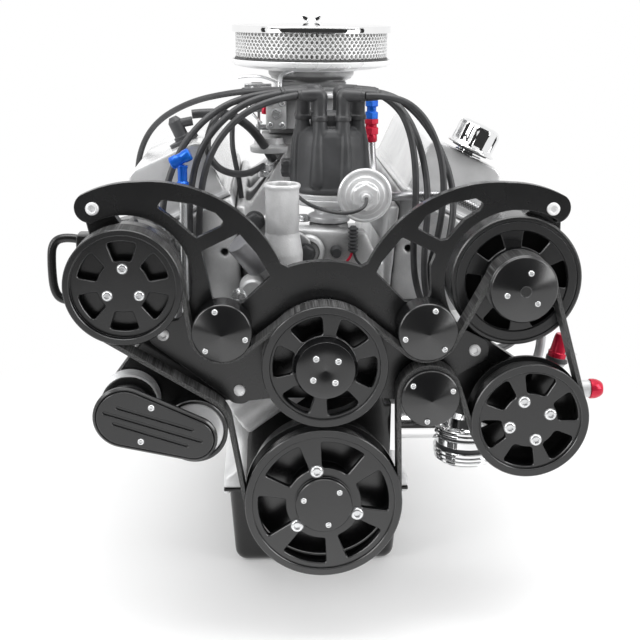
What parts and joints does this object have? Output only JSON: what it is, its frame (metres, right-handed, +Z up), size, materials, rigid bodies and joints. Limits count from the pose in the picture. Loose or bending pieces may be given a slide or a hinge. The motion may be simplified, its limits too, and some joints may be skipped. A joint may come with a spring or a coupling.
{
  "type": "complete v8 engine",
  "caption": "Complete V engine with fuel, ignition, cooling and a single-belt accessory drive, dressed and ready to fit.",
  "frame": {"origin": "centre of the crankshaft's rear flange face", "axes": "+Y out of the flywheel flange, away from the pulleys; +X to the right seen from the pulley end; +Z up"},
  "size_m": [0.6828, 0.706, 0.7415],
  "materials": {
    "engine_block": "satin",
    "main_bearing_caps": "rough",
    "crankshaft": "machined",
    "camshaft": "machined",
    "timing_chain": "satin",
    "cylinder_head": "cast",
    "spark_plugs": "bright",
    "valve_cover": "satin cast",
    "oil_filler_cap": "polished",
    "crankcase_valve": "satin",
    "intake_manifold": "satin cast",
    "carburettor": "cast",
    "throttle_shaft": "bright",
    "air_cleaner_base": "polished",
    "air_filter_element": "pleated",
    "air_cleaner_lid": "polished",
    "distributor_housing": "machined",
    "distributor_cap": "satin",
    "distributor_rotor": "satin",
    "vacuum_advance": "bright",
    "thermostat_housing": "machined",
    "timing_cover": "cast",
    "water_pump_body": "cast",
    "water_pump_pulley": "satin anodised",
    "accessory_bracket": "satin anodised",
    "bracket_hardware": "bright",
    "alternator_case": "cast",
    "alternator_rotor": "wound",
    "alternator_pulley": "satin anodised",
    "ac_compressor": "cast",
    "ac_clutch_pulley": "satin anodised",
    "power_steering_pump": "machined",
    "power_steering_bracket": "satin anodised",
    "power_steering_pulley": "satin anodised",
    "port_caps": "gloss",
    "idler_pulley": "turned, anodised",
    "tensioner_base": "cast",
    "tensioner_arm": "satin anodised",
    "tensioner_pulley": "satin anodised",
    "serpentine_belt": "matt",
    "crank_pulley": "satin anodised",
    "harmonic_balancer": "black",
    "oil_pan": "semi-gloss black",
    "fuel_pump": "polished",
    "dipstick": "gloss blue",
    "plug_wires": "satin",
    "vacuum_hoses": "satin",
    "fuel_hose": "braided",
    "piston": "machined"
  },
  "bodies": {
    "engine": {"engine_block": "engine_block", "main_bearing_caps": "main_bearing_caps", "timing_chain": "timing_chain", "cylinder_head_right": "cylinder_head", "cylinder_head_left": "cylinder_head", "spark_plugs": "spark_plugs", "valve_cover_right": "valve_cover", "valve_cover_left": "valve_cover", "oil_filler_cap": "oil_filler_cap", "crankcase_valve": "crankcase_valve", "intake_manifold": "intake_manifold", "carburettor": "carburettor", "air_cleaner_base": "air_cleaner_base", "air_filter_element": "air_filter_element", "air_cleaner_lid": "air_cleaner_lid", "distributor_housing": "distributor_housing", "distributor_cap": "distributor_cap", "vacuum_advance": "vacuum_advance", "thermostat_housing": "thermostat_housing", "timing_cover": "timing_cover", "water_pump_body": "water_pump_body", "accessory_bracket": "accessory_bracket", "bracket_hardware": "bracket_hardware", "alternator_case": "alternator_case", "ac_compressor": "ac_compressor", "power_steering_pump": "power_steering_pump", "power_steering_bracket": "power_steering_bracket", "port_caps": "port_caps", "tensioner_base": "tensioner_base", "serpentine_belt": "serpentine_belt", "oil_pan": "oil_pan", "fuel_pump": "fuel_pump", "dipstick": "dipstick", "plug_wires": "plug_wires", "vacuum_hoses": "vacuum_hoses", "fuel_hose": "fuel_hose"},
    "crank": {"crankshaft": "crankshaft", "harmonic_balancer": "harmonic_balancer", "crank_pulley": "crank_pulley"},
    "cam": {"camshaft": "camshaft"},
    "distributor_drive": {"distributor_rotor": "distributor_rotor"},
    "water_pump_drive": {"water_pump_pulley": "water_pump_pulley"},
    "alternator_drive": {"alternator_rotor": "alternator_rotor", "alternator_pulley": "alternator_pulley"},
    "compressor_drive": {"ac_clutch_pulley": "ac_clutch_pulley"},
    "steering_drive": {"power_steering_pulley": "power_steering_pulley"},
    "idler_1": {"idler_pulley_1": "idler_pulley"},
    "idler_2": {"idler_pulley_2": "idler_pulley"},
    "idler_3": {"idler_pulley_3": "idler_pulley"},
    "tensioner_swing": {"tensioner_arm": "tensioner_arm"},
    "tensioner_wheel": {"tensioner_pulley": "tensioner_pulley"},
    "throttle": {"throttle_shaft": "throttle_shaft"},
    "piston_body_1": {"piston_1": "piston"},
    "piston_body_2": {"piston_2": "piston"},
    "piston_body_3": {"piston_3": "piston"},
    "piston_body_4": {"piston_4": "piston"},
    "piston_body_5": {"piston_5": "piston"},
    "piston_body_6": {"piston_6": "piston"},
    "piston_body_7": {"piston_7": "piston"},
    "piston_body_8": {"piston_8": "piston"}
  },
  "joints": [
    {"name": "crank_spin", "type": "hinge", "parent": "engine", "child": "crank", "pos_m": [0, -0.3, 0], "axis": [0, 1, 0], "continuous": true},
    {"name": "cam_spin", "type": "hinge", "parent": "engine", "child": "cam", "pos_m": [0, -0.3, 0.117], "axis": [0, 1, 0], "continuous": true},
    {"name": "distributor_spin", "type": "hinge", "parent": "engine", "child": "distributor_drive", "pos_m": [0.016, -0.44, 0.3], "axis": [0, 0, 1], "continuous": true},
    {"name": "water_pump_spin", "type": "hinge", "parent": "engine", "child": "water_pump_drive", "pos_m": [0, -0.66, 0.17], "axis": [0, 1, 0], "continuous": true},
    {"name": "alternator_spin", "type": "hinge", "parent": "engine", "child": "alternator_drive", "pos_m": [0.224, -0.66, 0.262], "axis": [0, 1, 0], "continuous": true},
    {"name": "compressor_spin", "type": "hinge", "parent": "engine", "child": "compressor_drive", "pos_m": [-0.227, -0.66, 0.2645], "axis": [0, 1, 0], "continuous": true},
    {"name": "steering_pump_spin", "type": "hinge", "parent": "engine", "child": "steering_drive", "pos_m": [0.2412, -0.66, 0.1024], "axis": [0, 1, 0], "continuous": true},
    {"name": "idler_1_spin", "type": "hinge", "parent": "engine", "child": "idler_1", "pos_m": [-0.1173, -0.66, 0.2125], "axis": [0, 1, 0], "continuous": true},
    {"name": "idler_2_spin", "type": "hinge", "parent": "engine", "child": "idler_2", "pos_m": [0.1165, -0.66, 0.2125], "axis": [0, 1, 0], "continuous": true},
    {"name": "idler_3_spin", "type": "hinge", "parent": "engine", "child": "idler_3", "pos_m": [0.1223, -0.66, 0.1329], "axis": [0, 1, 0], "continuous": true},
    {"name": "tensioner_arm_swing", "type": "hinge", "parent": "engine", "child": "tensioner_swing", "pos_m": [-0.227, -0.69, 0.12], "axis": [0, 1, 0], "range_deg": [0, 20], "stiffness_Nm_per_rad": 20, "springref_deg": -28.65},
    {"name": "tensioner_wheel_spin", "type": "hinge", "parent": "tensioner_swing", "child": "tensioner_wheel", "pos_m": [-0.15, -0.66, 0.094], "axis": [0, 1, 0], "continuous": true},
    {"name": "throttle_turn", "type": "hinge", "parent": "engine", "child": "throttle", "pos_m": [0, -0.256, 0.398], "axis": [1, 0, 0], "range_deg": [0, 75], "stiffness_Nm_per_rad": 0.3, "springref_deg": -34.38},
    {"name": "piston_1_slide", "type": "slide", "parent": "engine", "child": "piston_body_1", "axis": [-0.7071, 0, 0.7071], "range_m": [-0.0762, 0]},
    {"name": "piston_2_slide", "type": "slide", "parent": "engine", "child": "piston_body_2", "axis": [-0.7071, 0, 0.7071], "range_m": [-0.0323, 0.0438]},
    {"name": "piston_3_slide", "type": "slide", "parent": "engine", "child": "piston_body_3", "axis": [-0.7071, 0, 0.7071], "range_m": [-0.0323, 0.0438]},
    {"name": "piston_4_slide", "type": "slide", "parent": "engine", "child": "piston_body_4", "axis": [-0.7071, 0, 0.7071], "range_m": [0, 0.0762]},
    {"name": "piston_5_slide", "type": "slide", "parent": "engine", "child": "piston_body_5", "axis": [0.7071, 0, 0.7071], "range_m": [-0.0323, 0.0438]},
    {"name": "piston_6_slide", "type": "slide", "parent": "engine", "child": "piston_body_6", "axis": [0.7071, 0, 0.7071], "range_m": [-0.0762, 0]},
    {"name": "piston_7_slide", "type": "slide", "parent": "engine", "child": "piston_body_7", "axis": [0.7071, 0, 0.7071], "range_m": [0, 0.0762]},
    {"name": "piston_8_slide", "type": "slide", "parent": "engine", "child": "piston_body_8", "axis": [0.7071, 0, 0.7071], "range_m": [-0.0323, 0.0438]}
  ],
  "couplings": [
    {"joint": "cam_spin", "follows": "crank_spin", "ratio": 0.5},
    {"joint": "distributor_spin", "follows": "crank_spin", "ratio": 0.5},
    {"joint": "water_pump_spin", "follows": "crank_spin", "ratio": 1.2953},
    {"joint": "alternator_spin", "follows": "crank_spin", "ratio": 2.4674},
    {"joint": "compressor_spin", "follows": "crank_spin", "ratio": 1.4232},
    {"joint": "steering_pump_spin", "follows": "crank_spin", "ratio": 1.3552},
    {"joint": "idler_1_spin", "follows": "crank_spin", "ratio": -2.5363},
    {"joint": "idler_2_spin", "follows": "crank_spin", "ratio": -2.5363},
    {"joint": "idler_3_spin", "follows": "crank_spin", "ratio": -2.5363},
    {"joint": "tensioner_wheel_spin", "follows": "crank_spin", "ratio": -2.2255},
    {"joint": "piston_6_slide", "follows": "piston_1_slide", "ratio": 1},
    {"joint": "piston_5_slide", "follows": "piston_3_slide", "ratio": 1},
    {"joint": "piston_7_slide", "follows": "piston_4_slide", "ratio": 1},
    {"joint": "piston_8_slide", "follows": "piston_2_slide", "ratio": 1}
  ]
}
